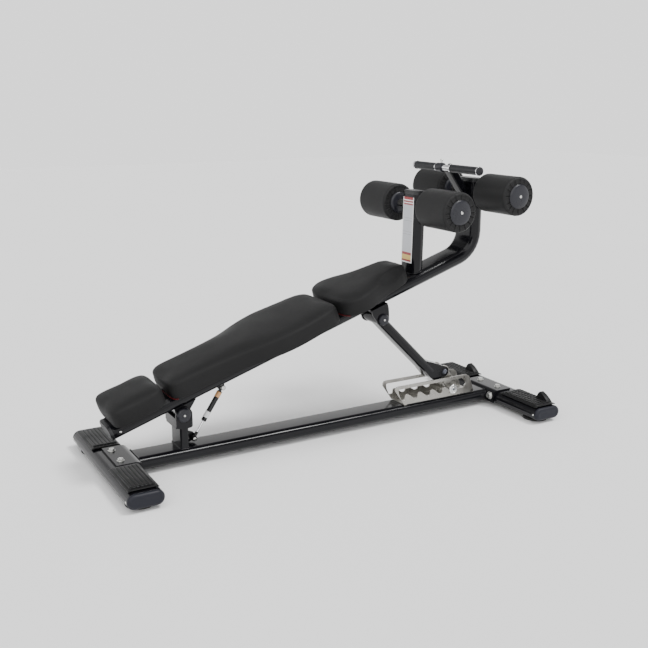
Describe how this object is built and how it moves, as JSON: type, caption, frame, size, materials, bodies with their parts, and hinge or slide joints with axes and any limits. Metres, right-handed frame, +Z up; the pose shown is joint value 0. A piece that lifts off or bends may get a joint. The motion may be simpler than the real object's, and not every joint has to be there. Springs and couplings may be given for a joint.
{
  "type": "decline sit-up bench",
  "caption": "Decline sit-up bench: pads on a tilting frame, foam leg rollers, a grip bar and a prop strut that rests in a toothed rack on a beam base.",
  "frame": {"origin": "centre of the footprint's bounding box, on the floor", "axes": "+X along the bench towards the foam rollers, +Y across it, away from the side the picture shows, +Z up"},
  "size_m": [1.712, 0.6786, 0.986],
  "materials": {
    "paint": "gloss black powder coat",
    "plastic": "satin moulded plastic",
    "rubber": "textured rubber",
    "steel": "brushed",
    "label": "printed sheet",
    "chrome": "polished",
    "vinyl": "fine-grained vinyl over foam",
    "board": "dark cover over plywood",
    "foam": "stretched vinyl over foam"
  },
  "bodies": {
    "base": {"front_cross_tube": "paint", "rear_cross_tube": "paint", "front_cap_near": "plastic", "rear_cap_near": "plastic", "front_foot_near": "rubber", "rear_foot_near": "rubber", "front_cap_far": "plastic", "rear_cap_far": "plastic", "front_foot_far": "rubber", "rear_foot_far": "rubber", "front_tread_near": "rubber", "front_tread_far": "rubber", "rear_tread_near": "rubber", "rear_tread_far": "rubber", "front_saddle": "paint", "rear_saddle": "paint", "base_beam": "paint", "front_post": "paint", "front_pivot_pin": "plastic", "rack": "steel", "spring_bracket": "paint"},
    "seat_frame": {"seat_tube": "paint", "seat_tube_front_plug": "plastic", "seat_tube_top_cap": "plastic", "label_post": "paint", "label_post_cap": "plastic", "post_label": "label", "front_lug": "paint", "rear_bracket": "paint", "rear_pivot_pin": "plastic", "spring_lug": "paint", "front_axle": "steel", "rear_axle": "steel", "handle_arm": "paint", "arm_plug": "plastic", "handle_bar": "chrome", "grip_near": "rubber", "grip_far": "rubber", "clamp_ring": "plastic", "head_pad": "vinyl", "head_board": "board", "back_pad": "vinyl", "back_board": "board", "seat_pad": "vinyl", "seat_board": "board"},
    "strut_arm": {"strut": "paint", "strut_tab_near": "steel", "strut_tab_far": "steel", "strut_bolt": "chrome", "rack_pin": "chrome"},
    "spring_body": {"spring_cylinder": "paint"},
    "spring_piston": {"spring_rod": "chrome"},
    "roller_a_near": {"roller_a_near_foam": "foam", "roller_a_near_hub": "plastic"},
    "roller_a_far": {"roller_a_far_foam": "foam", "roller_a_far_hub": "plastic"},
    "roller_b_near": {"roller_b_near_foam": "foam", "roller_b_near_hub": "plastic"},
    "roller_b_far": {"roller_b_far_foam": "foam", "roller_b_far_hub": "plastic"}
  },
  "joints": [
    {"name": "seat_tilt", "type": "hinge", "parent": "base", "child": "seat_frame", "pos_m": [-0.57, 0, 0.187], "axis": [0, -1, 0], "range_deg": [0, 4.5]},
    {"name": "strut_swing", "type": "hinge", "parent": "seat_frame", "child": "strut_arm", "pos_m": [0.218, 0, 0.419], "axis": [0, -1, 0], "range_deg": [-10, 0]},
    {"name": "spring_swing", "type": "hinge", "parent": "seat_frame", "child": "spring_body", "pos_m": [-0.407, 0, 0.243], "axis": [0, -1, 0], "range_deg": [-1.5, 0]},
    {"name": "spring_stroke", "type": "slide", "parent": "spring_body", "child": "spring_piston", "axis": [-0.5582, 0, -0.8297], "range_m": [0, 0.009]},
    {"name": "roller_a_near_spin", "type": "hinge", "parent": "seat_frame", "child": "roller_a_near", "pos_m": [0.385, -0.19, 0.826], "axis": [0, 1, 0], "continuous": true},
    {"name": "roller_a_far_spin", "type": "hinge", "parent": "seat_frame", "child": "roller_a_far", "pos_m": [0.385, 0.19, 0.826], "axis": [0, 1, 0], "continuous": true},
    {"name": "roller_b_near_spin", "type": "hinge", "parent": "seat_frame", "child": "roller_b_near", "pos_m": [0.642, -0.19, 0.869], "axis": [0, 1, 0], "continuous": true},
    {"name": "roller_b_far_spin", "type": "hinge", "parent": "seat_frame", "child": "roller_b_far", "pos_m": [0.642, 0.19, 0.869], "axis": [0, 1, 0], "continuous": true}
  ],
  "couplings": [
    {"joint": "strut_swing", "follows": "seat_tilt", "ratio": -2.2},
    {"joint": "spring_swing", "follows": "seat_tilt", "ratio": -0.3146},
    {"joint": "spring_stroke", "follows": "seat_tilt", "m_per_rad": 0.10268}
  ]
}
